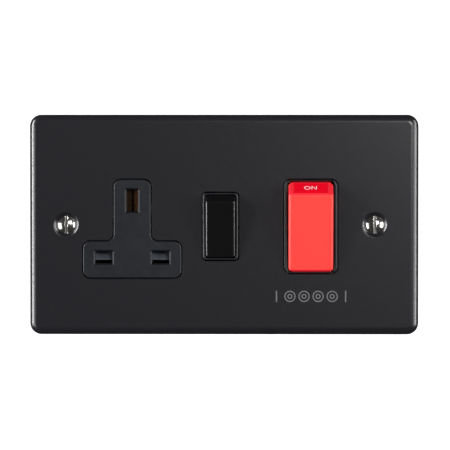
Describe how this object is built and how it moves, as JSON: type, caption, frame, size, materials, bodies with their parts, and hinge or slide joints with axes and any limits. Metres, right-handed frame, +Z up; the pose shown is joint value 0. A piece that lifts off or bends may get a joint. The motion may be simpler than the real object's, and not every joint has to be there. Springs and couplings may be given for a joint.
{
  "type": "cooker control unit",
  "caption": "Twin-gang wall plate in satin black metal with a red double-pole cooker rocker and a switched three-pin socket beside it.",
  "frame": {"origin": "midway between the two fixing screws, on the wall's face where the plate's rim rests", "axes": "+X to the right as seen from the room, +Y into the wall, +Z up"},
  "size_m": [0.152, 0.0368, 0.086],
  "materials": {
    "plate": "satin black powder coat",
    "nickel": "bright nickel plate",
    "black_plastic": "matt moulded",
    "rocker_black": "gloss moulded",
    "rocker_red": "gloss moulded",
    "housing": "matt moulded",
    "shutter": "matt moulded",
    "nylon": "natural nylon",
    "brass": "pressed strip",
    "brass_screw": "turned",
    "silver": "silver alloy",
    "steel": "zinc plated"
  },
  "bodies": {
    "casing": {"front_plate": "plate", "fixing_screws": "nickel", "front_moulding": "black_plastic", "plate_earth_strap": "brass", "rear_housing": "housing", "housing_screws": "steel", "fixed_contact_tips": "silver", "supply_terminal_earth": "brass", "load_terminal_earth": "brass", "clamp_screws": "brass_screw", "line_busbar": "brass", "neutral_busbar": "brass", "earth_bar": "brass", "earth_contact": "brass", "line_contact": "brass", "neutral_contact": "brass", "shutter_cover": "housing", "shutter_spring": "steel", "supply_strip_line": "brass", "load_strip_line": "brass", "supply_terminal_line": "brass", "load_terminal_line": "brass", "supply_strip_neutral": "brass", "load_strip_neutral": "brass", "supply_terminal_neutral": "brass", "load_terminal_neutral": "brass"},
    "socket_rocker_body": {"socket_rocker": "rocker_black", "socket_plunger_spring": "steel"},
    "socket_plunger_body": {"socket_plunger": "nylon"},
    "socket_arm_body": {"socket_contact_arm": "brass", "socket_moving_tip": "silver"},
    "cooker_rocker_body": {"cooker_rocker": "rocker_red", "cooker_spring_line": "steel", "cooker_spring_neutral": "steel"},
    "cooker_plunger_line_body": {"cooker_plunger_line": "nylon"},
    "cooker_plunger_neutral_body": {"cooker_plunger_neutral": "nylon"},
    "cooker_arm_line_body": {"cooker_arm_line": "brass", "cooker_moving_tip_line": "silver"},
    "cooker_arm_neutral_body": {"cooker_arm_neutral": "brass", "cooker_moving_tip_neutral": "silver"},
    "shutter_body": {"shutter": "shutter"}
  },
  "joints": [
    {"name": "cooker_rocker_tilt", "type": "hinge", "parent": "casing", "child": "cooker_rocker_body", "pos_m": [0.0353, 0.00388, -0.00065], "axis": [-1, 0, 0], "range_deg": [0, 22]},
    {"name": "socket_rocker_tilt", "type": "hinge", "parent": "casing", "child": "socket_rocker_body", "pos_m": [0, 0.00013, -0.00065], "axis": [-1, 0, 0], "range_deg": [0, 18]},
    {"name": "cooker_arm_line_rock", "type": "hinge", "parent": "casing", "child": "cooker_arm_line_body", "pos_m": [0.0408, 0.01605, -0.00065], "axis": [-1, 0, 0], "range_deg": [-10, 0]},
    {"name": "cooker_arm_neutral_rock", "type": "hinge", "parent": "casing", "child": "cooker_arm_neutral_body", "pos_m": [0.0298, 0.01605, -0.00065], "axis": [-1, 0, 0], "range_deg": [-10, 0]},
    {"name": "socket_arm_rock", "type": "hinge", "parent": "casing", "child": "socket_arm_body", "pos_m": [0, 0.0164, -0.00065], "axis": [-1, 0, 0], "range_deg": [-10, 0]},
    {"name": "cooker_plunger_line_press", "type": "slide", "parent": "cooker_rocker_body", "child": "cooker_plunger_line_body", "axis": [0, -0.9816, -0.1908], "range_m": [0, 0.0008], "stiffness_N_per_m": 400, "springref_m": -0.001, "deforming": ["cooker_spring_line"]},
    {"name": "cooker_plunger_neutral_press", "type": "slide", "parent": "cooker_rocker_body", "child": "cooker_plunger_neutral_body", "axis": [0, -0.9816, -0.1908], "range_m": [0, 0.0008], "stiffness_N_per_m": 400, "springref_m": -0.001, "deforming": ["cooker_spring_neutral"]},
    {"name": "socket_plunger_press", "type": "slide", "parent": "socket_rocker_body", "child": "socket_plunger_body", "axis": [0, -0.9877, -0.1564], "range_m": [0, 0.0008], "stiffness_N_per_m": 400, "springref_m": -0.001, "deforming": ["socket_plunger_spring"]},
    {"name": "shutter_drop", "type": "slide", "parent": "casing", "child": "shutter_body", "axis": [0, 0, -1], "range_m": [0, 0.0051], "stiffness_N_per_m": 60, "springref_m": -0.002, "deforming": ["shutter_spring"]}
  ],
  "couplings": [
    {"joint": "cooker_arm_line_rock", "follows": "cooker_rocker_tilt", "ratio": -0.45454},
    {"joint": "cooker_arm_neutral_rock", "follows": "cooker_rocker_tilt", "ratio": -0.45454},
    {"joint": "socket_arm_rock", "follows": "socket_rocker_tilt", "ratio": -0.55556}
  ]
}
